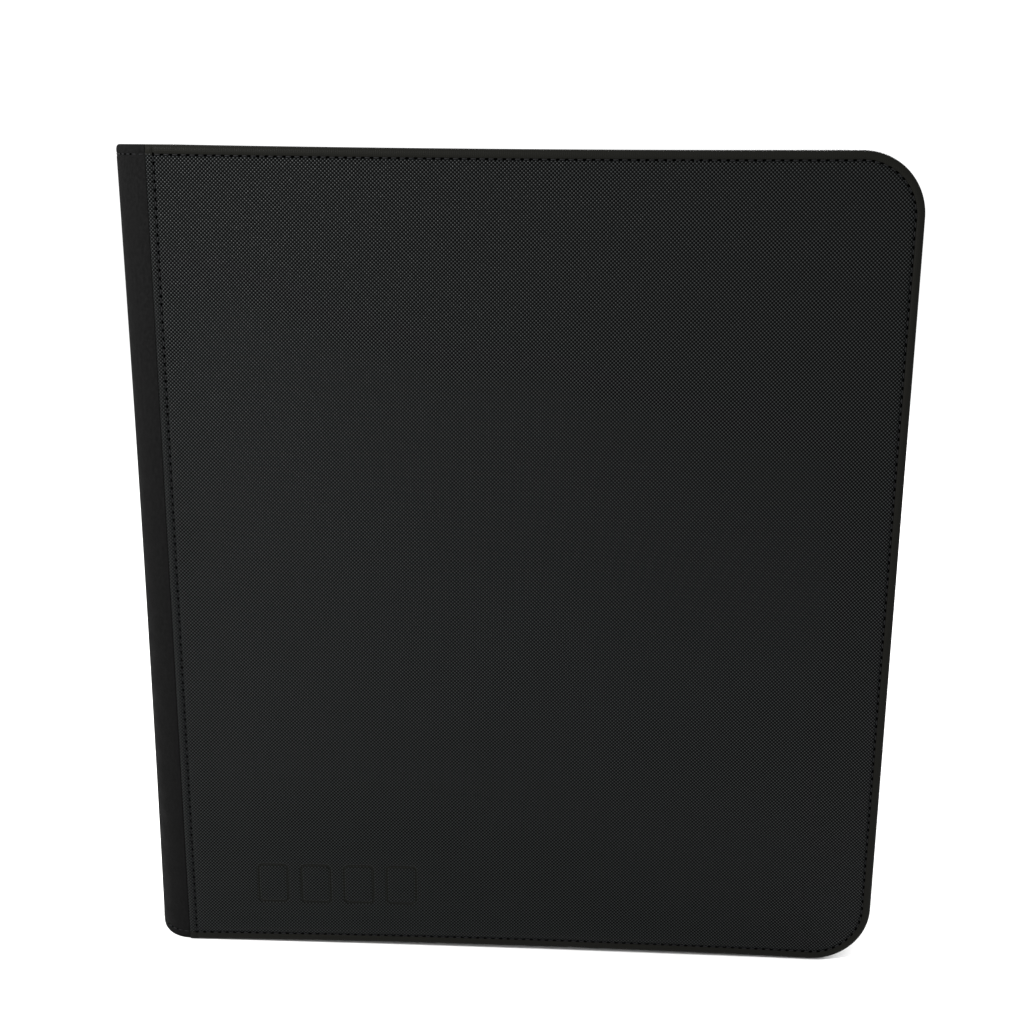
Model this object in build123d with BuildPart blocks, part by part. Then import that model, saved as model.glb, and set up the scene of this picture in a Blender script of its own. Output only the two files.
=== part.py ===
"""Zip-up trading card binder, standing on its bottom edge, in millimetres.

+Z is up, the front cover faces -Y and the spine is at -X. The origin is the centre of
the footprint, on the surface that the binder stands on. Each cover is a skin turned over
a stiff board, with a lining inside and one half of a coil zip round three sides. Twenty
leaves with side-loading pockets turn on a binding block that the rounded spine holds.
"""
from build123d import *
import math
import os

# Case
height = 355.0
cover_width = 309.0
spine_bulge = 17.0
depth = 44.0
corner_radius = 26.0

# Cover layers, from the outside in
skin = 0.8
board = 2.6
turned_edge = 1.2
lining = 0.4
board_to_fold = 2.0
lining_to_fold = 1.0

# Spine
spine_lap = 0.8
spine_skin = 0.8
spine_stiffener = 1.2
spine_lining = 0.4
fold_gap = 0.3
stiffener_end_gap = 1.2

# Zip
tape = 0.8
tape_recess = 7.0
tape_flange = 0.7
tape_flange_edge = 1.4
tape_to_fold = 3.0
coil_outer = 3.5
coil_inner = 0.9
coil_height = 2.6
coil_to_fold = 8.0
stop_length = 2.5
end_tab_width = 12.0
end_tab = 1.2
end_tab_to_fold = 1.0

# Slider and pull tab
slider_length = 14.0
slider_width = 10.4
slider_plate = 1.1
slider_play = 0.35
slider_lip = 1.0
front_lip_height = 0.2
slider_post_width = 1.1
slider_post_length = 4.0
slider_to_fold = 17.0
crown_length = 7.0
crown_width = 2.4
crown_height = 3.5
crown_wall = 1.1
pull_length = 24.0
pull_width = 7.6
pull_thickness = 1.4
pull_eye_width = 3.4
pull_eye_length = 4.9
pull_hole_radius = 1.6
pull_tip_radius = 3.2

# Leaves
leaf_count = 20
leaf_pitch = 1.75
leaf_height = 309.0
leaf_web = 0.3
leaf_corner = 6.0
binding_radius = 54.0
binding_reach = 7.0
binding_play = 0.4
binding_half_width = 17.6
pocket_columns = 4
pocket_rows = 3
pocket_width = 67.0
pocket_height = 96.0
pocket_gap = 0.25
film = 0.2
weld = 1.5
strip_gap = 1.0
leaf_margin = 1.0
leaf_to_tape = 5.2

# Worked out from the sizes above
right_x = (cover_width + spine_bulge) / 2
fold_x = right_x - cover_width
mid_z = height / 2
cover_inside = depth / 2 - skin - board - lining
zip_z = height - tape_recess - tape / 2
strip_width = pocket_width + weld
strip_height = pocket_rows * pocket_height + (pocket_rows - 1) * 2 * weld + 2 * weld
leaf_right = right_x - tape_recess - tape - leaf_to_tape


def save(builder, name):
    """Labels a finished sub-part and writes it under its own name."""
    builder.part.label = name
    export_step(builder.part, f"parts/{name}.step")


def cover_plane(side, inset):
    """A plane that lies inset below a cover's outer face, and looks into the binder."""
    return Plane(
        origin=(0, side * (depth / 2 - inset), mid_z),
        x_dir=(1, 0, 0),
        z_dir=(0, -side, 0),
    )


def outline(left, inset):
    """A cover's outline from x = left, moved in from its edge: the free corners are round."""
    width = right_x - inset - left
    with BuildSketch() as sheet:
        with Locations(((left + right_x - inset) / 2, 0)):
            Rectangle(width, height - 2 * inset)
        free_corners = sheet.vertices().group_by(Axis.X)[-1]
        fillet(free_corners, radius=corner_radius - inset)
    return sheet.sketch


def band(left, outer_inset, inner_inset):
    """A strip of even width round a cover's three free sides, open at the spine."""
    outer = outline(left, outer_inset)
    inner = outline(left - height, inner_inset)
    with BuildSketch() as strip:
        add(outer)
        add(inner, mode=Mode.SUBTRACT)
    return strip.sketch


def make_cover(name, side):
    """One cover's skin, board and lining."""
    whole = outline(fold_x, 0)
    inside = outline(fold_x + board_to_fold, turned_edge)
    with BuildPart() as cover_skin:
        with BuildSketch(cover_plane(side, 0)):
            add(whole)
        extrude(amount=skin + board)
        with BuildSketch(cover_plane(side, skin)):
            add(inside)
        extrude(amount=board, mode=Mode.SUBTRACT)
    save(cover_skin, f"{name}_skin")

    with BuildPart() as cover_board:
        with BuildSketch(cover_plane(side, skin)):
            add(inside)
        extrude(amount=board)
    save(cover_board, f"{name}_board")

    inner_face = outline(fold_x + lining_to_fold, turned_edge / 2)
    with BuildPart() as cover_lining:
        with BuildSketch(cover_plane(side, skin + board)):
            add(inner_face)
        extrude(amount=lining)
    save(cover_lining, f"{name}_lining")


def make_zip_half(name, side):
    """One cover's half of the zip: a tape sewn to the cover, the coil on its edge, two stops."""
    tape_left = fold_x + tape_to_fold
    flange = band(tape_left, tape_flange_edge, tape_recess + tape)
    wall = band(tape_left, tape_recess, tape_recess + tape)
    with BuildPart() as zip_tape:
        with BuildSketch(cover_plane(side, skin + board + lining)):
            add(flange)
        extrude(amount=tape_flange)
        with BuildSketch(cover_plane(side, skin + board + lining)):
            add(wall)
        extrude(amount=cover_inside - coil_outer)
    save(zip_tape, f"{name}_zip_tape")

    coil_left = fold_x + coil_to_fold
    coil_edge = tape_recess + tape / 2 - coil_height / 2
    coil_band = band(coil_left, coil_edge, coil_edge + coil_height)
    with BuildPart() as zip_coil:
        with BuildSketch(cover_plane(side, depth / 2 - coil_outer)):
            add(coil_band)
        extrude(amount=coil_outer - coil_inner)
    save(zip_coil, f"{name}_zip_coil")

    stop_x = coil_left - stop_length / 2
    with BuildPart() as zip_stops:
        with BuildSketch(cover_plane(side, depth / 2 - coil_outer)):
            with Locations((stop_x, zip_z - mid_z), (stop_x, mid_z - zip_z)):
                Rectangle(stop_length, coil_height)
        extrude(amount=coil_outer - coil_inner)
    save(zip_stops, f"{name}_zip_stops")


def make_spine_layer(name, outer_inset, thickness, end_gap):
    """One layer of the rounded spine, between two ellipses, cut back from the folds."""
    across = spine_bulge - outer_inset
    along = depth / 2 - spine_lap - outer_inset
    with BuildPart() as layer:
        with BuildSketch(Plane.XY.offset(end_gap)):
            with Locations((fold_x, 0)):
                Ellipse(across, along)
                Ellipse(across - thickness, along - thickness, mode=Mode.SUBTRACT)
            with Locations((fold_x - fold_gap, 0)):
                Rectangle(
                    depth, depth, align=(Align.MIN, Align.CENTER), mode=Mode.SUBTRACT
                )
        extrude(amount=height - 2 * end_gap)
    save(layer, name)


def make_binding():
    """The block behind the leaves: its front is an arc, so that each leaf can lean aside."""
    hollow = spine_skin + spine_stiffener + spine_lining
    front_x = fold_x + binding_reach - binding_play
    with BuildPart() as page_binding:
        with BuildSketch(Plane.XY.offset(mid_z - leaf_height / 2)):
            with Locations((fold_x, 0)):
                Ellipse(spine_bulge - hollow, depth / 2 - spine_lap - hollow)
                Rectangle(
                    binding_reach, 2 * binding_half_width, align=(Align.MIN, Align.CENTER)
                )
                Rectangle(depth, 2 * binding_half_width, mode=Mode.INTERSECT)
            with Locations((front_x - binding_radius, 0)):
                Circle(binding_radius, mode=Mode.INTERSECT)
        extrude(amount=leaf_height)
    save(page_binding, "page_binding")


def make_end_tabs():
    """Two cloth tabs on the spine that the ends of the zip tuck up to."""
    hollow = spine_skin + spine_stiffener + spine_lining
    tab_left = fold_x - spine_bulge + hollow
    tab_length = fold_x - end_tab_to_fold - tab_left
    with BuildPart() as zip_end_tabs:
        for tab_z in (zip_z, height - zip_z):
            with BuildSketch(Plane.XY.offset(tab_z - end_tab / 2)):
                with Locations((tab_left + tab_length / 2, 0)):
                    Rectangle(tab_length, end_tab_width)
                with Locations((fold_x, 0)):
                    Ellipse(
                        spine_bulge - hollow,
                        depth / 2 - spine_lap - hollow,
                        mode=Mode.INTERSECT,
                    )
            extrude(amount=end_tab)
    save(zip_end_tabs, "zip_end_tabs")


def make_slider():
    """The slider: two plates with a post between, lips at their sides and a crown on top.

    The lips close on the back cover's tape. Those at the front are shallow, so that the
    front half of the chain can leave the slider when the binder opens."""
    slider_x = fold_x + slider_to_fold
    plate_gap = coil_height / 2 + slider_play
    lip_gap = tape / 2 + slider_play
    plate_top = zip_z + plate_gap + slider_plate
    post_x = slider_x - slider_length / 2 + slider_post_length / 2 + slider_plate
    with BuildPart() as zip_slider:
        for low in (zip_z + plate_gap, zip_z - plate_gap - slider_plate):
            with BuildSketch(Plane.XY.offset(low)) as plate:
                with Locations((slider_x, 0)):
                    Rectangle(slider_length, slider_width)
                fillet(plate.vertices(), radius=slider_plate * 2)
            extrude(amount=slider_plate)
        for side, lip_height in ((1, plate_gap - lip_gap), (-1, front_lip_height)):
            lip_y = side * (slider_width - slider_lip) / 2
            for low in (zip_z + plate_gap - lip_height, zip_z - plate_gap):
                with BuildSketch(Plane.XY.offset(low)):
                    with Locations((slider_x, lip_y)):
                        Rectangle(slider_length - 4 * slider_plate, slider_lip)
                extrude(amount=lip_height)
        with BuildSketch(Plane.XY.offset(zip_z - plate_gap)):
            with Locations((post_x, 0)):
                Rectangle(slider_post_length, slider_post_width)
        extrude(amount=2 * plate_gap)
        with BuildSketch(Plane.XZ.offset(-crown_width / 2)):
            with Locations((slider_x, plate_top)):
                Rectangle(
                    crown_length, crown_height, align=(Align.CENTER, Align.MIN)
                )
                Rectangle(
                    crown_length - 2 * crown_wall,
                    crown_height - crown_wall,
                    align=(Align.CENTER, Align.MIN),
                    mode=Mode.SUBTRACT,
                )
        extrude(amount=crown_width)
    save(zip_slider, "zip_slider")
    return slider_x, plate_top


def make_pull(slider_x, plate_top):
    """The pull tab: its eye bar passes under the crown, and it lies flat towards the spine."""
    pull_z = plate_top + (crown_height - crown_wall) / 2
    tip_x = slider_x + pull_thickness / 2 - pull_length
    eye_x = slider_x - pull_thickness / 2 - pull_eye_length / 2
    with BuildPart() as zip_pull_tab:
        with BuildSketch(Plane.XY.offset(pull_z - pull_thickness / 2)) as tab:
            with Locations((tip_x, 0)):
                Rectangle(
                    pull_length, pull_width, align=(Align.MIN, Align.CENTER)
                )
            fillet(tab.vertices().group_by(Axis.X)[0], radius=pull_tip_radius)
            with Locations((eye_x, 0)):
                Rectangle(pull_eye_length, pull_eye_width, mode=Mode.SUBTRACT)
            with Locations((tip_x + pull_width / 2, 0)):
                Circle(pull_hole_radius, mode=Mode.SUBTRACT)
        extrude(amount=pull_thickness)
    save(zip_pull_tab, "zip_pull_tab")
    return pull_z


def leaf_place(number):
    """The axis that a leaf turns on: its x and y, on an arc just clear of the binding."""
    y = (number - (leaf_count + 1) / 2) * leaf_pitch
    drop = binding_radius - math.sqrt(binding_radius**2 - y**2)
    return fold_x + binding_reach - drop, y


def make_leaf(number):
    """One leaf: a thin web, and on both its faces a strip of film pockets for each column."""
    hinge_x, y = leaf_place(number)
    with BuildPart() as web:
        with BuildSketch(Plane.XZ.offset(-y - leaf_web / 2)) as sheet:
            with Locations((hinge_x, mid_z)):
                Rectangle(
                    leaf_right - hinge_x, leaf_height, align=(Align.MIN, Align.CENTER)
                )
            fillet(sheet.vertices().group_by(Axis.X)[-1], radius=leaf_corner)
        extrude(amount=leaf_web)
    save(web, f"page_{number:02d}_web")

    column_pitch = strip_width + strip_gap
    row_pitch = pocket_height + 2 * weld
    last_x = leaf_right - leaf_margin - strip_width
    strip_x = [last_x - n * column_pitch for n in range(pocket_columns)]
    row_z = [(n - (pocket_rows - 1) / 2) * row_pitch for n in range(pocket_rows)]
    from_left = (Align.MIN, Align.CENTER)
    with BuildPart() as films:
        for face in (1, -1):
            on_web = Plane(
                origin=(0, y + face * leaf_web / 2, mid_z), x_dir=(1, 0, 0), z_dir=(0, face, 0)
            )
            with BuildSketch(on_web):
                with Locations(*[(x, 0) for x in strip_x]):
                    Rectangle(strip_width, strip_height, align=from_left)
            extrude(amount=pocket_gap + film)
            with BuildSketch(on_web):
                with Locations(*[(x, z) for x in strip_x for z in row_z]):
                    Rectangle(pocket_width, pocket_height, align=from_left)
            extrude(amount=pocket_gap, mode=Mode.SUBTRACT)
    save(films, f"page_{number:02d}_pockets")


os.makedirs("parts", exist_ok=True)

for cover_name, cover_side in (("front", -1), ("back", 1)):
    make_cover(cover_name, cover_side)
    make_zip_half(cover_name, cover_side)

make_spine_layer("spine_skin", 0, spine_skin, 0)
make_spine_layer("spine_stiffener", spine_skin, spine_stiffener, stiffener_end_gap)
make_spine_layer(
    "spine_lining", spine_skin + spine_stiffener, spine_lining, stiffener_end_gap
)
make_binding()
make_end_tabs()

slider_middle, slider_top = make_slider()
pull_axis_z = make_pull(slider_middle, slider_top)

for leaf_number in range(1, leaf_count + 1):
    make_leaf(leaf_number)

print("cover fold x", fold_x, "y", depth / 2)
print("zip pull axis x", slider_middle, "z", pull_axis_z)
for leaf_number in (1, leaf_count // 2):
    print("leaf", leaf_number, "axis", leaf_place(leaf_number))
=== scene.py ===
"""Looks of the zip-up trading card binder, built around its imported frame, in metres."""
import math

import bmesh
import bpy
from mathutils import Matrix, Vector, noise


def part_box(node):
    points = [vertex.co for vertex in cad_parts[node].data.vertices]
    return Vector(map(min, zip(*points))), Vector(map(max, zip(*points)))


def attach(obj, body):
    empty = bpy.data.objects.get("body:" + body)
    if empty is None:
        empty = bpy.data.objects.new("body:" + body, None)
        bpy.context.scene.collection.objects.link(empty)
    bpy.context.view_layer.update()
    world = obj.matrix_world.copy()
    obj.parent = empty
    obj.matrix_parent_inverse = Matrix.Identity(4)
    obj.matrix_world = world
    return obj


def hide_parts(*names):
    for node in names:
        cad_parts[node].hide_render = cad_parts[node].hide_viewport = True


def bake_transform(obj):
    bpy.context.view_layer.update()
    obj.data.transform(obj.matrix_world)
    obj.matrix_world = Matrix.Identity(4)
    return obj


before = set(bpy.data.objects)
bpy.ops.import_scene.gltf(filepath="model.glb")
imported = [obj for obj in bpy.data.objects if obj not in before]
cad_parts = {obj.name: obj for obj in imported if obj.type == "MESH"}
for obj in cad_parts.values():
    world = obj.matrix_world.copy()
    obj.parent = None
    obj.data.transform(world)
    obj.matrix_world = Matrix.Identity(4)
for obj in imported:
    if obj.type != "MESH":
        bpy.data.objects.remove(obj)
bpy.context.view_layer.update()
MM = 0.001

# The case, read from the frame
fold_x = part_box("front_skin")[0].x
right_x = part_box("front_skin")[1].x
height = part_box("front_skin")[1].z
half_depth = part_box("back_skin")[1].y
cover_width = right_x - fold_x
lining_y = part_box("back_lining")[0].y
spine_bulge = fold_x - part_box("spine_skin")[0].x
spine_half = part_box("spine_skin")[1].y
tape_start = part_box("front_zip_tape")[0].x
coil_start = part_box("front_zip_coil")[0].x
coil_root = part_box("back_zip_coil")[1].y
coil_half_height = 1.3 * MM
coil_inset = height - (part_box("front_zip_coil")[1].z - coil_half_height)
slider_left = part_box("zip_slider")[0].x
corner_radius = 26 * MM

# How far the middle of a cover's edges draws in
BOW_TOP = 0.9 * MM
BOW_BOTTOM = 1.9 * MM

# Sewing
STITCH_PITCH = 3.5 * MM
STITCH_LENGTH = 2.1 * MM
STITCH_INSET = 3.9 * MM
FOLD_STITCH = 3.4 * MM
THREAD_RADIUS = 0.22 * MM
STITCH_SLANT = 0.05
# Size of the black discs of painted shade at the needle holes
HOLE_LENGTH = 0.95 * MM
HOLE_WIDTH = 0.4 * MM
SEAM_DEPTH = 0.44 * MM
SPINE_SEAM_DEPTH = 0.16 * MM
THREAD_RISE = 0.12 * MM
HOLE_RISE = 0.14 * MM

# The coil
COIL_PITCH = 1.8 * MM
TOOTH_HALF_WIDTH = 0.37 * MM
TOOTH_HALF_HEIGHT = 1.15 * MM
TOOTH_OVERLAP = 0.75 * MM


# ---------------------------------------------------------------- materials


def srgb(hex_colour):
    """A linear colour from an sRGB hex value."""
    channels = [int(hex_colour[i : i + 2], 16) / 255 for i in (0, 2, 4)]
    linear = [c / 12.92 if c <= 0.04045 else ((c + 0.055) / 1.055) ** 2.4 for c in channels]
    return (*linear, 1.0)


def add_node(tree, kind, inputs, output=0, **settings):
    """Adds a shader node. Each input is set to a value or linked to another node's output."""
    made = tree.nodes.new("ShaderNode" + kind)
    for name, value in settings.items():
        setattr(made, name, value)
    for socket, value in inputs.items():
        if isinstance(value, bpy.types.NodeSocket):
            tree.links.new(value, made.inputs[socket])
        else:
            made.inputs[socket].default_value = value
    return made.outputs[output]


def new_finish(name, parts, bump_depth, cloth=False, **even):
    """A material. Parts gives a function for each shader input that varies, and for its bump.

    Each is given the tree and a place: on the flat cloth, or in the object's own axes."""
    material = bpy.data.materials.new(name)
    material.use_nodes = True
    tree = material.node_tree
    shader = tree.nodes["Principled BSDF"]
    for key, value in even.items():
        shader.inputs[key.replace("_", " ")].default_value = value
    if cloth:
        place = add_node(tree, "Attribute", {}, "Vector", attribute_name="flat")
    else:
        place = add_node(tree, "TexCoord", {}, "Object")
    for socket, part in parts.items():
        value = part(tree, place)
        if socket == "Normal":
            value = add_node(tree, "Bump", {"Height": value, "Distance": bump_depth})
        tree.links.new(value, shader.inputs[socket])
    return material


def grain(tree, place, size, detail=3.0):
    """Soft noise from 0 to 1 with blotches about as large as size, in metres."""
    return add_node(tree, "TexNoise", {"Vector": place, "Scale": 1 / size, "Detail": detail})


def scaled(tree, value, low, high, start=0.3, end=0.7):
    """Spreads a value that runs from start to end over low to high."""
    spread = {"Value": value, "From Min": start, "From Max": end, "To Min": low, "To Max": high}
    return add_node(tree, "MapRange", spread)


def two_tones(tree, share, dark, light):
    """Mixes two sRGB colours."""
    mixed = {"Factor": share, 6: srgb(dark), 7: srgb(light)}
    return add_node(tree, "Mix", mixed, 2, data_type="RGBA")


def weave(tree, place, pitch, turn=0.0):
    """A plain weave seen along Y: 1 on the crowns of upright threads, -1 on cross threads."""
    sway = grain(tree, place, 18 * MM).node.outputs["Color"]
    sway = add_node(tree, "VectorMath", {0: sway, "Scale": 0.9 * pitch}, operation="SCALE")
    moved = add_node(tree, "VectorMath", {0: place, 1: sway})
    half_turns = (math.pi / pitch,) * 3
    turned = add_node(
        tree, "Mapping", {"Vector": moved, "Rotation": (0, turn, 0), "Scale": half_turns}
    )
    axes = add_node(tree, "SeparateXYZ", {0: turned}).node.outputs
    across = add_node(tree, "Math", {0: axes["X"]}, operation="SINE")
    along = add_node(tree, "Math", {0: axes["Z"]}, operation="SINE")
    return add_node(tree, "Math", {0: across, 1: along}, operation="MULTIPLY")


def thread_height(tree, crowns):
    """How far each thread stands up: round on its crown, with a groove between threads."""
    size = add_node(tree, "Math", {0: crowns}, operation="ABSOLUTE")
    return add_node(tree, "Math", {0: size, 1: 0.6}, operation="POWER")


def nylon_weave_with_painted_glints():
    """Coarse nylon weave with a thin black coating. The rolled edge is stretched smooth.

    The upright threads lie higher, so the light catches their crowns and not the rest. Their
    colour carries this as painted light: a painted highlight on the upright crowns, and painted
    shade on the cross threads and in the grooves."""
    pitch = 0.76 * MM

    def edge(tree):
        return add_node(tree, "Attribute", {}, "Fac", attribute_name="edge_band")

    def colour(tree, place):
        # Painted highlight: the upright crowns are coloured lighter. Painted shade: the cross
        # threads and grooves are coloured darker.
        crowns = weave(tree, place, pitch)
        cloth = two_tones(tree, scaled(tree, crowns, 0, 1, -0.15, 0.8), "010101", "202222")
        mixed = {"Factor": edge(tree), 6: cloth, 7: srgb("11110f")}
        return add_node(tree, "Mix", mixed, 2, data_type="RGBA")

    def shine(tree, place):
        crowns = scaled(tree, weave(tree, place, pitch), 0.02, 0.16, 0.1, 0.9)
        mixed = {"Factor": edge(tree), 2: crowns, 3: 0.02}
        return add_node(tree, "Mix", mixed)

    def roughness(tree, place):
        return scaled(tree, weave(tree, place, pitch), 0.6, 0.28, -1, 1)

    def bump(tree, place):
        threads = thread_height(tree, weave(tree, place, pitch))
        open_weave = scaled(tree, edge(tree), 1, 0.3, 0, 1)
        cloth = add_node(tree, "Math", {0: threads, 1: open_weave}, operation="MULTIPLY")
        rough = scaled(tree, grain(tree, place, 0.4 * MM), 0, 0.2)
        return add_node(tree, "Math", {0: cloth, 1: rough})

    parts = {
        "Base Color": colour, "Specular IOR Level": shine, "Roughness": roughness, "Normal": bump
    }
    return new_finish("nylon_weave_with_painted_glints", parts, 0.2 * MM, True)


def coated_spine_cloth():
    """Finer cloth of the spine: a close, shallow weave under a thicker coating."""

    def colour(tree, place):
        blotches = scaled(tree, grain(tree, place, 1.5 * MM, 5), 0, 1)
        return two_tones(tree, blotches, "0a0a0a", "101010")

    def roughness(tree, place):
        return scaled(tree, grain(tree, place, 7 * MM), 0.6, 0.8)

    def bump(tree, place):
        return thread_height(tree, weave(tree, place, 0.55 * MM, 0.5))

    parts = {"Base Color": colour, "Roughness": roughness, "Normal": bump}
    return new_finish("coated_spine_cloth", parts, 0.08 * MM, True, Specular_IOR_Level=0.01)


def fine_weave(name, dark, light, pitch, depth, **even):
    """A plain woven cloth of two close tones, with threads of the pitch given."""

    def colour(tree, place):
        return two_tones(tree, scaled(tree, weave(tree, place, pitch), 0, 1, -1, 1), dark, light)

    def bump(tree, place):
        return thread_height(tree, weave(tree, place, pitch))

    return new_finish(name, {"Base Color": colour, "Normal": bump}, depth, True, **even)


def welded_film():
    """Clear polypropylene film. Where it is welded down it is pressed into a fine waffle."""

    def colour(tree, place):
        return two_tones(tree, scaled(tree, grain(tree, place, 30 * MM), 0, 1), "c9d0d4", "e6ebee")

    def opaqueness(tree, place):
        weld = add_node(tree, "Attribute", {}, "Fac", attribute_name="edge_band")
        return scaled(tree, weld, 0.05, 0.22, 0, 1)

    def bump(tree, place):
        weld = add_node(tree, "Attribute", {}, "Fac", attribute_name="edge_band")
        waffle = thread_height(tree, weave(tree, place, 0.6 * MM, math.pi / 4))
        pressed = add_node(tree, "Math", {0: waffle, 1: weld}, operation="MULTIPLY")
        ripple = scaled(tree, grain(tree, place, 25 * MM, 1), 0, 3)
        return add_node(tree, "Math", {0: pressed, 1: ripple})

    parts = {"Base Color": colour, "Alpha": opaqueness, "Normal": bump}
    return new_finish("clear_polypropylene_film", parts, 0.1 * MM, True, Roughness=0.16)


def grained(name, dark, light, size, depth, **even):
    """An even finish of two close tones with a fine grain of the size and depth given."""

    def colour(tree, place):
        return two_tones(tree, scaled(tree, grain(tree, place, size), 0, 1), dark, light)

    def bump(tree, place):
        return grain(tree, place, size)

    return new_finish(name, {"Base Color": colour, "Normal": bump}, depth, **even)


panel_cloth = nylon_weave_with_painted_glints()
spine_cloth = coated_spine_cloth()
thread_black = grained(
    "bonded_nylon_thread", "111112", "19191a", 0.4 * MM, 0.05 * MM, Specular_IOR_Level=0.05
)
# Black, for flat discs of painted shade that stand for the shadow inside the needle holes
painted_hole_shade = grained(
    "painted_hole_shade", "000000", "010101", 0.5 * MM, 0.02 * MM, Specular_IOR_Level=0.0
)
tape_cloth = fine_weave(
    "woven_zip_tape", "0a0b0c", "18191b", 0.55 * MM, 0.12 * MM, Specular_IOR_Level=0.15
)
lining_cloth = fine_weave(
    "woven_lining", "0c0d0e", "1a1b1d", 0.4 * MM, 0.08 * MM, Specular_IOR_Level=0.15
)
sealed_tape = grained(
    "heat_sealed_tape", "0a0b0c", "18191b", 0.5 * MM, 0.06 * MM, Specular_IOR_Level=0.15
)
coil_nylon = grained("nylon_coil", "0e0f10", "18191b", 0.6 * MM, 0.02 * MM, Roughness=0.35)
black_zinc = grained(
    "black_plated_zinc", "1c1d1f", "2c2d30", 1.5 * MM, 0.01 * MM, Roughness=0.3, Metallic=0.9
)
web_plastic = grained(
    "embossed_polypropylene", "09090a", "131415", 0.7 * MM, 0.05 * MM, Roughness=0.45
)
film_clear = welded_film()
grey_board = grained("grey_board", "463f37", "5f564b", 1 * MM, 0.05 * MM, Roughness=0.9)
sheet_plastic = grained(
    "black_sheet_plastic", "101011", "1b1b1d", 2 * MM, 0.02 * MM, Roughness=0.5
)
binding_rubber = grained("moulded_rubber", "0c0c0d", "161617", 0.8 * MM, 0.06 * MM, Roughness=0.7)


# ---------------------------------------------------------------- mesh helpers


def add_piece(mesh, material, body, replaced=()):
    """Turns a mesh into a piece that rides on a body and stands for the CAD nodes named."""
    piece = bpy.data.objects.new(mesh.name, mesh)
    bpy.context.scene.collection.objects.link(piece)
    mesh.materials.append(material)
    for face in mesh.polygons:
        face.use_smooth = True
    if body:
        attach(piece, body)
    if replaced:
        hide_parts(*replaced)
    return piece


def make_sheet(name, wide, tall, place, outward):
    """A sheet's mesh from a grid. The function place gives three things for each grid point:

    the point, its place on the flat cloth, and how far it belongs to a pressed edge."""
    bm = bmesh.new()
    flat = bm.verts.layers.float_vector.new("flat")
    edge = bm.verts.layers.float.new("edge_band")
    made = bmesh.ops.create_grid(bm, x_segments=wide - 1, y_segments=tall - 1, size=1.0)
    for index, vert in enumerate(made["verts"]):
        vert.co, vert[flat], vert[edge] = place(index % wide, index // wide)
    bmesh.ops.recalc_face_normals(bm, faces=bm.faces)
    if sum(face.normal.dot(outward) * face.calc_area() for face in bm.faces) < 0:
        bmesh.ops.reverse_faces(bm, faces=bm.faces)
    mesh = bpy.data.meshes.new(name)
    bm.to_mesh(mesh)
    bm.free()
    return mesh


def make_copies(name, shape, places):
    """One mesh of many copies of a small shape, one at each place."""
    corners = [place @ corner for place in places for corner in shape[0]]
    size = len(shape[0])
    faces = [
        [size * copy + corner for corner in face]
        for copy in range(len(places))
        for face in shape[1]
    ]
    mesh = bpy.data.meshes.new(name)
    mesh.from_pydata(corners, [], faces)
    return mesh


def rounded_bar(length, half_width, half_height):
    """A bar along X with round ends: a stitch of thread or one turn of the coil."""
    bm = bmesh.new()
    turn = Matrix.Rotation(math.pi / 2, 4, "Y")
    bmesh.ops.create_uvsphere(bm, u_segments=8, v_segments=6, radius=1.0, matrix=turn)
    middle = length / 2 - half_width
    corners = []
    for vert in bm.verts:
        shift = middle if vert.co.x > 0.01 else -middle if vert.co.x < -0.01 else 0.0
        x = vert.co.x * half_width + shift
        corners.append(Vector((x, vert.co.y * half_width, vert.co.z * half_height)))
    faces = [[vert.index for vert in face.verts] for face in bm.faces]
    bm.free()
    return corners, faces


def oval(half_length, half_width):
    """A flat oval in the X-Z plane: a black disc of painted shade that stands for the dark inside
    of a needle hole.
    """
    bm = bmesh.new()
    flat = Matrix.Rotation(math.pi / 2, 4, "X") @ Matrix.Diagonal((half_length, half_width, 1, 1))
    bmesh.ops.create_circle(bm, cap_ends=True, segments=10, radius=1.0, matrix=flat)
    corners = [vert.co.copy() for vert in bm.verts]
    faces = [[vert.index for vert in face.verts] for face in bm.faces]
    bm.free()
    return corners, faces


def softened(node_name, piece_name, material, body, width, bowed=False):
    """A CAD node's own shape with its sharp edges rounded off, and, when bowed is set, bowed as
    the covers are.
    """
    bm = bmesh.new()
    bm.from_mesh(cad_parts[node_name].data)
    bmesh.ops.remove_doubles(bm, verts=bm.verts, dist=0.001 * MM)
    bmesh.ops.dissolve_limit(bm, angle_limit=math.radians(1), verts=bm.verts, edges=bm.edges)
    if bowed:
        for x in steps(fold_x, right_x, BOARD_STEP)[1:]:
            every = [*bm.verts, *bm.edges, *bm.faces]
            bmesh.ops.bisect_plane(bm, geom=every, plane_co=(x, 0, 0), plane_no=(1, 0, 0))
        for vert in bm.verts:
            vert.co = bow(vert.co.copy())
    mesh = bpy.data.meshes.new(piece_name)
    bm.to_mesh(mesh)
    bm.free()
    piece = add_piece(mesh, material, body, (node_name,))
    soft = piece.modifiers.new("rounded edges", "BEVEL")
    soft.width = width
    soft.segments = 3
    soft.limit_method = "ANGLE"
    soft.harden_normals = True


def steps(start, end, step):
    """Evenly spaced places from start to just before end."""
    count = max(1, round((end - start) / step))
    return [start + (end - start) * n / count for n in range(count)]


def in_mm(profile):
    """A profile written in millimetres, in metres."""
    return [(a * MM, b * MM) for a, b in profile]


def lengths_along(profile):
    """The length of a profile from its first point to each of its points."""
    lengths = [0.0]
    for here, ahead in zip(profile, profile[1:]):
        lengths.append(lengths[-1] + math.dist(here, ahead))
    return lengths


def smoothstep(value, low, high):
    """0 below low, 1 above high and a smooth rise between."""
    share = min(1.0, max(0.0, (value - low) / (high - low)))
    return share * share * (3 - 2 * share)


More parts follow.
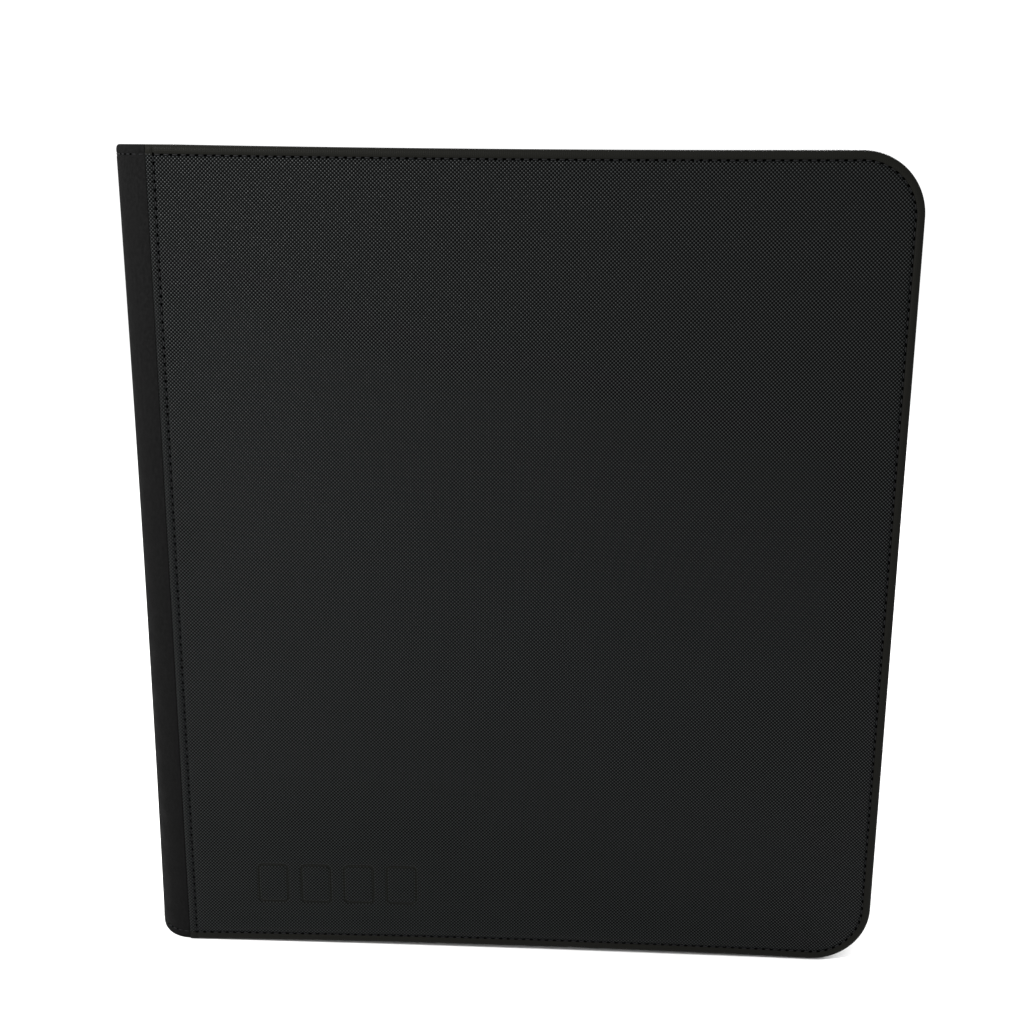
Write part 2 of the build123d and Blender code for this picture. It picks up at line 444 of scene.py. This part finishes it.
def bow(point, share=1.0):
    """Draws a point in towards the middle, as the edges of a sewn cover draw in."""
    across = (point.x - fold_x) / cover_width
    up = point.z / height
    amount = share * max(0.0, 4 * across * (1 - across))
    point.z += amount * (BOW_BOTTOM * (1 - up) - BOW_TOP * up)
    return point


def rim_at(distance, start_x, inset):
    """A place on a line that runs round a cover, inset from its edge: x, z and heading.

    It starts at x = start_x on top, goes down the free side and comes back along the bottom."""
    radius = corner_radius - inset
    arc = radius * math.pi / 2
    centre_x = right_x - corner_radius
    top_run = centre_x - start_x
    side_run = height - 2 * corner_radius
    if distance < top_run:
        return start_x + distance, height - inset, 0.0
    distance -= top_run
    if distance < arc:
        turn = distance / radius
        x = centre_x + radius * math.sin(turn)
        return x, height - corner_radius + radius * math.cos(turn), -turn
    distance -= arc
    if distance < side_run:
        return right_x - inset, height - corner_radius - distance, -math.pi / 2
    distance -= side_run
    if distance < arc:
        turn = distance / radius
        x = centre_x + radius * math.cos(turn)
        return x, corner_radius - radius * math.sin(turn), -math.pi / 2 - turn
    return centre_x - (distance - arc), inset, -math.pi


def rim_length(start_x, inset):
    """The length of that line."""
    straight = 2 * (right_x - corner_radius - start_x) + height - 2 * corner_radius
    return straight + math.pi * (corner_radius - inset)


# ---------------------------------------------------------------- covers

# A sheet's rolled edge, as pairs of inset from the cover's edge and depth below its face
PANEL_ROLL = in_mm([
    (2.6, 3.35), (1.0, 3.25), (0.35, 2.8), (0.0, 1.9), (0.12, 1.15), (0.45, 0.6),
    (1.0, 0.25), (1.8, 0.06), (2.6, 0.02), (3.2, 0.2), (3.55, 0.42), (3.9, 0.5),
    (4.25, 0.42), (4.6, 0.2), (5.2, 0.02), (6.5, 0.0),
])
LINING_ROLL = in_mm([(1.4, 3.3), (0.8, 3.4), (0.65, 3.6), (0.8, 3.78), (1.4, 3.85), (6.5, 3.85)])
# The same for the edge at the fold, where the panel laps over the spine
PANEL_FOLD = in_mm([
    (2.6, 3.35), (0.8, 3.25), (0.2, 2.7), (0.0, 1.6), (0.1, 0.8), (0.4, 0.3),
    (0.9, 0.05), (1.6, 0.0), (2.3, 0.05), (2.75, 0.22), (3.1, 0.42), (3.4, 0.48),
    (3.7, 0.42), (4.05, 0.22), (4.6, 0.04), (5.4, 0.0), (6.5, 0.0),
])
LINING_FOLD = in_mm([(1.6, 3.3), (1.1, 3.4), (1.0, 3.6), (1.2, 3.8), (1.8, 3.85), (6.5, 3.85)])
PLAIN_STEP = 4 * MM
BOARD_STEP = 10 * MM

# How far a cover's face stands out over its board
SWELL_HEIGHT = 0.5 * MM
UNEVEN_HEIGHT = 0.18 * MM

# The pressed emblem: a row of card outlines
CARD_COUNT = 4
CARD_PITCH = 19.5 * MM
FIRST_CARD = (fold_x + 40 * MM, 30 * MM)
CARD_HALF = (6.6 * MM, 9.2 * MM)
CARD_CORNER = 2 * MM
GROOVE_HALF = 0.8 * MM
GROOVE_DEPTH = 0.5 * MM
GROOVE_STEP = 0.5 * MM
EMBLEM_MARGIN = 9 * MM


def emblem_depth(x, z):
    """How deep the emblem is pressed in at a point of the front cover."""
    card = min(CARD_COUNT - 1, max(0, round((x - FIRST_CARD[0]) / CARD_PITCH)))
    dx = abs(x - FIRST_CARD[0] - card * CARD_PITCH) - CARD_HALF[0] + CARD_CORNER
    dz = abs(z - FIRST_CARD[1]) - CARD_HALF[1] + CARD_CORNER
    outside = math.hypot(max(dx, 0), max(dz, 0)) + min(max(dx, dz), 0) - CARD_CORNER
    return GROOVE_DEPTH * (1 - smoothstep(abs(outside), 0.3 * GROOVE_HALF, GROOVE_HALF))


def swell(x, z, side):
    """How far a cover's face stands out: a soft crown and slow unevenness over the board."""
    across = 1 - abs(2 * (x - fold_x) / cover_width - 1) ** 3
    up = 1 - abs(2 * z / height - 1) ** 3
    uneven = UNEVEN_HEIGHT * noise.noise(Vector((x * 14, z * 14, side)))
    return SWELL_HEIGHT * across * up + uneven


def cover_sheet(name, side, roll, fold, pressed=False):
    """A sheet over a whole cover, rolled at its three free edges and at the fold.

    Grid lines crowd together at the edges, and turn into rings round the two free corners."""
    fine = GROOVE_STEP if pressed else PLAIN_STEP
    deep = roll[-1][1]
    rings = roll + [(inset, deep) for inset in steps(9 * MM, 18 * MM, 3 * MM)]
    rings += [(inset, deep) for inset in steps(18 * MM, corner_radius, fine)]
    rings.append((corner_radius, deep))
    last = len(rings) - 1
    ring_lengths = lengths_along(rings)
    reach = [length - ring_lengths[last] for length in ring_lengths]
    corner_x = right_x - corner_radius
    corner_z = height - corner_radius
    field_x = steps(fold_x + 10 * MM, corner_x, PLAIN_STEP)
    field_z = steps(corner_radius, corner_z, PLAIN_STEP)[1:]
    if pressed:
        left = FIRST_CARD[0] - EMBLEM_MARGIN
        right = FIRST_CARD[0] + (CARD_COUNT - 1) * CARD_PITCH + EMBLEM_MARGIN
        top = FIRST_CARD[1] + CARD_HALF[1] + 2 * GROOVE_HALF
        field_x = steps(fold_x + 10 * MM, left, PLAIN_STEP) + steps(left, right, GROOVE_STEP)
        field_x += steps(right, corner_x, PLAIN_STEP)
        field_z = steps(corner_radius, top, GROOVE_STEP)[1:] + steps(top, corner_z, PLAIN_STEP)
    fold_lengths = lengths_along(fold)
    columns = [
        (fold_x + inset, depth, None, fold_x + fold[-1][0] + length - fold_lengths[-1])
        for (inset, depth), length in zip(fold, fold_lengths)
    ]
    columns += [(x, deep, None, x) for x in field_x]
    columns += [
        (right_x - rings[k][0], rings[k][1], k, corner_x - reach[k]) for k in range(last, -1, -1)
    ]
    rows = [(rings[k][0], rings[k][1], k, corner_radius + reach[k]) for k in range(last + 1)]
    rows += [(z, deep, None, z) for z in field_z]
    rows += [
        (height - rings[k][0], rings[k][1], k, corner_z - reach[k]) for k in range(last, -1, -1)
    ]

    def place(i, j):
        x, x_depth, column_ring, flat_x = columns[i]
        z, z_depth, row_ring, flat_z = rows[j]
        depth = max(x_depth, z_depth)
        nearest = min(k for k in (column_ring, row_ring, last) if k is not None)
        if column_ring is not None and row_ring is not None:
            depth = rings[nearest][1]
            share = (last - max(column_ring, row_ring)) / max(1, last - nearest)
            turn = math.pi / 4 * (share if column_ring <= row_ring else 2 - share)
            out = Vector((math.cos(turn), 0, math.sin(turn) * (1 if z > height / 2 else -1)))
            centre = Vector((corner_x, 0, corner_z if z > height / 2 else corner_radius))
            x, _, z = centre + out * (corner_radius - rings[nearest][0])
            flat_x, _, flat_z = centre - out * reach[nearest]
        edge = 1 - smoothstep(rings[nearest][0], 3.5 * MM, 4.3 * MM)
        if pressed:
            depth += emblem_depth(x, z)
            edge = max(edge, 0.8 * emblem_depth(x, z) / GROOVE_DEPTH)
        rise = swell(x, z, side) * (1 - depth / (3.4 * MM)) if deep == 0.0 else 0.0
        point = bow(Vector((x, side * (half_depth - depth + rise), z)))
        return point, Vector((flat_x, 0, flat_z)), edge

    outward = Vector((0, side if deep == 0.0 else -side, 0))
    return make_sheet(name, len(columns), len(rows), place, outward)


def sewing_places(start_x):
    """Where the stitches of a cover lie: x, z and heading, round its rim and down its fold."""
    run = rim_length(start_x, STITCH_INSET)
    count = round(run / STITCH_PITCH)
    places = [rim_at(run * (n + 0.5) / count, start_x, STITCH_INSET) for n in range(count)]
    fold_run = height - 2 * STITCH_INSET
    count = round(fold_run / STITCH_PITCH)
    for n in range(count):
        z = STITCH_INSET + fold_run * (n + 0.5) / count
        places.append((fold_x + FOLD_STITCH, z, math.pi / 2))
    return places


def sew(name, side, body):
    """A cover's thread, on its outer face and on the tape inside, and black discs of painted shade
    at the needle holes on its outer face.
    """
    threads = []
    holes = []
    for x, z, heading in sewing_places(fold_x + FOLD_STITCH):
        groove = side * (half_depth + swell(x, z, side) - SEAM_DEPTH)
        turn = Matrix.Rotation(-heading - STITCH_SLANT, 4, "Y")
        middle = bow(Vector((x, groove + side * THREAD_RISE, z)))
        threads.append(Matrix.Translation(middle) @ turn)
        half_step = Vector((math.cos(heading), 0, math.sin(heading))) * STITCH_PITCH / 2
        hole = bow(Vector((x, groove + side * HOLE_RISE, z)) + half_step)
        holes.append(Matrix.Translation(hole) @ turn)
    tape_y = side * (lining_y - 0.75 * MM)
    run = rim_length(tape_start, STITCH_INSET)
    count = round(run / STITCH_PITCH)
    for n in range(count):
        x, z, heading = rim_at(run * (n + 0.5) / count, tape_start, STITCH_INSET)
        middle = bow(Vector((x, tape_y, z)), tape_bow(STITCH_INSET))
        threads.append(Matrix.Translation(middle) @ Matrix.Rotation(-heading, 4, "Y"))
    stitch = rounded_bar(STITCH_LENGTH, THREAD_RADIUS, THREAD_RADIUS)
    thread_mesh = make_copies(f"{name}_stitching", stitch, threads)
    add_piece(thread_mesh, thread_black, body)
    # Black discs of painted shade where the thread dives into its needle holes
    hole_mesh = make_copies(f"{name}_painted_hole_shades", oval(HOLE_LENGTH, HOLE_WIDTH), holes)
    add_piece(hole_mesh, painted_hole_shade, body)


# ---------------------------------------------------------------- spine

# A spine sheet's ends, as pairs of inset from the end and depth below its outer face
SPINE_ROLL = in_mm([
    (4.0, 2.5), (1.6, 2.45), (0.5, 2.3), (0.08, 1.9), (0.0, 1.5), (0.12, 0.95), (0.45, 0.5),
    (1.0, 0.2), (1.8, 0.04), (2.7, 0.0), (3.4, 0.12), (3.9, 0.26), (4.4, 0.12), (5.2, 0.0),
])
SPINE_LINING_ROLL = in_mm([(2.4, 2.3), (2.2, 2.5), (2.6, 2.65), (6.0, 2.65)])
SPINE_TURNS = 64
PINCH = 0.9 * MM
SPINE_CLEARANCE = 0.2 * MM
SMALL_TURN = 0.02


def spine_point(turn, z, depth):
    """A point of the rounded spine: turn goes from -90 degrees at the front to 90 at the back."""
    pinch = PINCH * (1 - (2 * z / height - 1) ** 2)
    across = spine_bulge - depth - pinch
    along = spine_half - depth
    x = fold_x - SPINE_CLEARANCE - across * math.cos(turn)
    return Vector((x, along * math.sin(turn), z))


def spine_sheet(name, roll, inside):
    """A sheet bent round the spine and rolled over at its top and bottom."""
    deep = roll[-1][1]
    rows = list(roll) + [(z, deep) for z in steps(10 * MM, height - 10 * MM, 5 * MM)]
    rows += [(height - inset, depth) for inset, depth in reversed(roll)]
    flat_rows = lengths_along(rows)
    girth = math.pi * (spine_bulge + spine_half) / 2

    def place(i, j):
        turn = math.pi * (i / SPINE_TURNS - 0.5)
        z, depth = rows[j]
        edge = 1 - smoothstep(min(z, height - z), 3.5 * MM, 4.3 * MM)
        flat = Vector((girth * i / SPINE_TURNS, 0, flat_rows[j]))
        return spine_point(turn, z, depth), flat, edge

    outward = Vector((1 if inside else -1, 0, 0))
    return make_sheet(name, SPINE_TURNS + 1, len(rows), place, outward)


def sew_spine():
    """The two rows of stitches that run on across the ends of the spine."""
    threads = []
    holes = []
    count = round(math.pi * (spine_bulge + spine_half) / 2 / STITCH_PITCH)
    for z in (STITCH_INSET, height - STITCH_INSET):
        for n in range(2 * count):
            turn = math.pi * (n / count / 2 - 0.5)
            here = spine_point(turn, z, SPINE_SEAM_DEPTH)
            ahead = spine_point(turn + SMALL_TURN, z, SPINE_SEAM_DEPTH)
            heading = math.atan2(ahead.y - here.y, ahead.x - here.x)
            place = Matrix.Translation(here) @ Matrix.Rotation(heading, 4, "Z")
            (threads if n % 2 else holes).append(place)
    stitch = rounded_bar(STITCH_LENGTH, THREAD_RADIUS, THREAD_RADIUS)
    thread_mesh = make_copies("spine_stitching", stitch, threads)
    add_piece(thread_mesh, thread_black, "spine")
    # Black discs of painted shade at the needle holes
    hole_mesh = make_copies("spine_painted_hole_shades", oval(HOLE_LENGTH, HOLE_WIDTH), holes)
    add_piece(hole_mesh, painted_hole_shade, "spine")


def hinge_strip(name, side, depth, tuck, material, slot):
    """A strip of cloth that joins the spine to a cover at the fold."""
    rows = steps(2 * MM, height - 2 * MM, 8 * MM) + [height - 2 * MM]
    reach = [n * 0.5 * MM for n in range(-8, 2 * round(tuck / MM) + 1)]

    def place(i, j):
        along = reach[i]
        z = rows[j]
        flat = Vector((along, 0, z))
        if along < 0:
            turn = side * (math.pi / 2 + along / spine_bulge)
            return spine_point(turn, z, depth), flat, 0.0
        y = side * (spine_half - depth)
        return Vector((fold_x - SPINE_CLEARANCE + along, y, z)), flat, 0.0

    outward = Vector((0, side if depth < 1 * MM else -side, 0))
    mesh = make_sheet(f"{name}_{slot}_hinge", len(reach), len(rows), place, outward)
    piece = add_piece(mesh, material, None)
    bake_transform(piece)


# ---------------------------------------------------------------- zip

# Across a tape, from its sewn edge to the coil: inset from the cover's edge, and how far
# it has turned from the lining towards the middle of the binder, from 0 to 1
TAPE_SECTION = [
    (1.5, 0.0), (3.0, 0.0), (4.5, 0.0), (5.6, 0.01), (6.4, 0.03), (6.9, 0.08), (7.15, 0.16),
    (7.2, 0.3), (7.25, 0.45), (7.3, 0.6), (7.35, 0.75), (7.4, 0.88), (7.4, 1.0),
]
TAPE_THICKNESS = 0.7 * MM


def tape_bow(inset):
    """How much of the edge's bow the tape still has at an inset: all at the edge, none inside."""
    return 1 - smoothstep(inset, 1.5 * MM, 6.9 * MM)


def zip_tape(name, side):
    """Half of the zip's tape: sewn flat to the lining, then turned towards the other half."""
    length = rim_length(tape_start, coil_inset)
    stations = steps(0.0, length, 2.5 * MM) + [length]
    sewn_y = lining_y - TAPE_THICKNESS / 2
    edge_y = coil_root - 0.4 * MM

    def place(i, j):
        inset, share = TAPE_SECTION[j]
        inset *= MM
        x, z, heading = rim_at(stations[i], tape_start, coil_inset)
        out = Vector((-math.sin(heading), 0, math.cos(heading)))
        ripple = 0.25 * MM * math.sin(math.pi * share)
        ripple *= noise.noise(Vector((stations[i] * 60, share * 2, side)))
        y = sewn_y + (edge_y - sewn_y) * share
        point = Vector((x, side * y, z)) + out * (coil_inset - inset + ripple)
        flat = Vector((stations[i], 0, inset + (sewn_y - y)))
        return bow(point, tape_bow(inset)), flat, 0.0

    outward = Vector((0, -side, 0))
    mesh = make_sheet(f"{name}_tape", len(stations), len(TAPE_SECTION), place, outward)
    piece = add_piece(mesh, tape_cloth, f"{name}_cover", (f"{name}_zip_tape",))
    thick = piece.modifiers.new("cloth thickness", "SOLIDIFY")
    thick.thickness = TAPE_THICKNESS
    thick.offset = 0.0


def zip_teeth(name, side):
    """Half of the coil, one rounded tooth for each turn. Where it is closed the tips cross."""
    length = rim_length(coil_start, coil_inset)
    count = round(length / COIL_PITCH)
    open_tip = 0.95 * MM
    places = {open_tip: [], -TOOTH_OVERLAP: []}
    for n in range(count):
        distance = (n + (0.75 if side > 0 else 0.25)) * length / count
        x, z, heading = rim_at(distance, coil_start, coil_inset)
        closed = x > slider_left + 6 * MM or z < height / 2
        tip = -TOOTH_OVERLAP if closed else open_tip
        middle = Vector((x, side * (coil_root + tip) / 2, z))
        turn = Matrix.Rotation(-heading, 4, "Y") @ Matrix.Rotation(math.pi / 2, 4, "Z")
        places[tip].append(Matrix.Translation(middle) @ turn)
    for part, (tip, spots) in zip(("parted", "meshed"), places.items()):
        tooth = rounded_bar(coil_root - tip, TOOTH_HALF_WIDTH, TOOTH_HALF_HEIGHT)
        mesh = make_copies(f"{name}_{part}_teeth", tooth, spots)
        add_piece(mesh, coil_nylon, f"{name}_cover", (f"{name}_zip_coil",))


# ---------------------------------------------------------------- leaves


def pocket_film(number):
    """The clear pockets of one leaf: films welded down round each pocket, open at the spine."""
    name = f"page_{number:02d}"
    web_low, web_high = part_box(f"{name}_web")
    low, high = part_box(f"{name}_pockets")
    columns = 4
    rows = 3
    strip_gap = 1 * MM
    weld = 1.5 * MM
    strip = (high.x - low.x - (columns - 1) * strip_gap) / columns
    pocket_x = [0.0, 1.2 * MM, strip * 0.3, strip * 0.7]
    pocket_x += [strip - weld - 1 * MM, strip - weld, strip]
    lift_x = [0.42, 0.36, 0.3, 0.3, 0.22, 0.05, 0.03]
    row_height = (high.z - low.z) / rows
    pocket_z = [0.0, weld, weld + 1 * MM, row_height / 2, row_height - weld - 1 * MM]
    pocket_z += [row_height - weld, row_height]
    lift_z = [0.03, 0.05, 0.3, 0.42, 0.3, 0.05, 0.03]
    wide = len(pocket_x)
    tall = len(pocket_z) * rows
    made = []
    for face in (1, -1):
        web_y = web_high.y if face > 0 else web_low.y
        for column in range(columns):
            left = low.x + column * (strip + strip_gap)

            def place(i, j):
                row, step = divmod(j, len(pocket_z))
                x = left + pocket_x[i]
                z = low.z + row * row_height + pocket_z[step]
                lift = min(lift_x[i], lift_z[step])
                weld_share = 1.0 if lift < 0.1 else 0.0
                return Vector((x, web_y + face * lift * MM, z)), Vector((x, 0, z)), weld_share

            made.append(make_sheet(name, wide, tall, place, Vector((0, face, 0))))
    bm = bmesh.new()
    for mesh in made:
        bm.from_mesh(mesh)
        bpy.data.meshes.remove(mesh)
    joined = bpy.data.meshes.new(f"{name}_pocket_films")
    bm.to_mesh(joined)
    bm.free()
    add_piece(joined, film_clear, name, (f"{name}_pockets",))


# ---------------------------------------------------------------- stage


def make_stage():
    """A white floor, even white surroundings, and soft lamps at the upper left and the rear."""
    bm = bmesh.new()
    bmesh.ops.create_grid(bm, x_segments=1, y_segments=1, size=6.0)
    mesh = bpy.data.meshes.new("floor")
    bm.to_mesh(mesh)
    bm.free()
    floor = bpy.data.objects.new("floor", mesh)
    bpy.context.scene.collection.objects.link(floor)
    mesh.materials.append(
        grained("white_paper", "f4f4f4", "f8f8f8", 2 * MM, 0.01 * MM, Roughness=0.9)
    )
    world = bpy.data.worlds.new("studio")
    bpy.context.scene.world = world
    world.use_nodes = True
    background = world.node_tree.nodes["Background"].inputs
    background["Color"].default_value = (1, 1, 1, 1)
    background["Strength"].default_value = 1.15
    lamps = (
        ("key_softbox", (-0.42, -0.45, 0.6), (-0.1, 0, 0.28), 0.2, 9.0),
        ("rear_softbox", (0.5, 0.9, 0.9), (0, 0, 0.18), 0.5, 14.0),
    )
    for name, where, target, size, energy in lamps:
        lamp = bpy.data.lights.new(name, "AREA")
        lamp.energy = energy
        lamp.size = size
        box = bpy.data.objects.new(name, lamp)
        box.location = where
        aim = Vector(target) - box.location
        box.rotation_euler = aim.to_track_quat("-Z", "Y").to_euler()
        bpy.context.scene.collection.objects.link(box)
    bpy.context.scene.view_settings.view_transform = "Standard"


def make_camera():
    """The camera: level with the top of the binder, looking a little down and to the left."""
    pan = math.radians(-2.8)
    pitch = math.radians(14.7)
    roll = math.radians(0.4)
    level = Vector((math.sin(pan), math.cos(pan), 0))
    right = Vector((math.cos(pan), -math.sin(pan), 0))
    up = Vector((0, 0, 1))
    ahead = math.cos(pitch) * level - math.sin(pitch) * up
    above = math.sin(pitch) * level + math.cos(pitch) * up
    side = math.cos(roll) * right + math.sin(roll) * above
    top = -math.sin(roll) * right + math.cos(roll) * above
    data = bpy.data.cameras.new("camera")
    data.sensor_width = 36.0
    data.lens = 49.03
    camera = bpy.data.objects.new("camera", data)
    bpy.context.scene.collection.objects.link(camera)
    turn = Matrix((side, top, -ahead)).transposed().to_4x4()
    camera.matrix_world = Matrix.Translation((0.030, -0.589, 0.355)) @ turn
    bpy.context.scene.camera = camera


# ---------------------------------------------------------------- build

make_camera()
make_stage()

for cover, cover_side in (("front", -1), ("back", 1)):
    cover_body = f"{cover}_cover"
    pressed = cover == "front"
    panel = cover_sheet(f"{cover}_woven_panel", cover_side, PANEL_ROLL, PANEL_FOLD, pressed)
    add_piece(panel, panel_cloth, cover_body, (f"{cover}_skin",))
    inner = cover_sheet(f"{cover}_lining_sheet", cover_side, LINING_ROLL, LINING_FOLD)
    add_piece(inner, lining_cloth, cover_body, (f"{cover}_lining",))
    sew(cover, cover_side, cover_body)
    zip_tape(cover, cover_side)
    zip_teeth(cover, cover_side)
    softened(f"{cover}_zip_stops", f"{cover}_stops", black_zinc, cover_body, 0.4 * MM)
    softened(
        f"{cover}_board", f"{cover}_stiff_board", grey_board, cover_body, 0.2 * MM, True
    )
    hinge_strip(cover, cover_side, 0.15 * MM, 3 * MM, spine_cloth, "spine_fabric")
    hinge_strip(cover, cover_side, 2.7 * MM, 4 * MM, lining_cloth, "lining")

wrap = spine_sheet("spine_wrap", SPINE_ROLL, False)
add_piece(wrap, spine_cloth, "spine", ("spine_skin",))
spine_inner = spine_sheet("spine_lining_sheet", SPINE_LINING_ROLL, True)
add_piece(spine_inner, lining_cloth, "spine", ("spine_lining",))
sew_spine()
softened("zip_end_tabs", "zip_tab_ends", sealed_tape, "spine", 0.4 * MM)
softened("page_binding", "page_binding_strip", binding_rubber, "spine", 0.6 * MM)
softened("zip_slider", "zip_slider_casting", black_zinc, "slider", 0.3 * MM)
softened("zip_pull_tab", "zip_pull", black_zinc, "pull_tab", 0.35 * MM)
softened("spine_stiffener", "spine_sheet_plastic", sheet_plastic, "spine", 0.2 * MM)

leaf_count = sum(name.endswith("_web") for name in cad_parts)
for page in range(1, leaf_count + 1):
    leaf = f"page_{page:02d}"
    softened(f"{leaf}_web", f"{leaf}_sheet", web_plastic, leaf, 0.08 * MM)
    pocket_film(page)
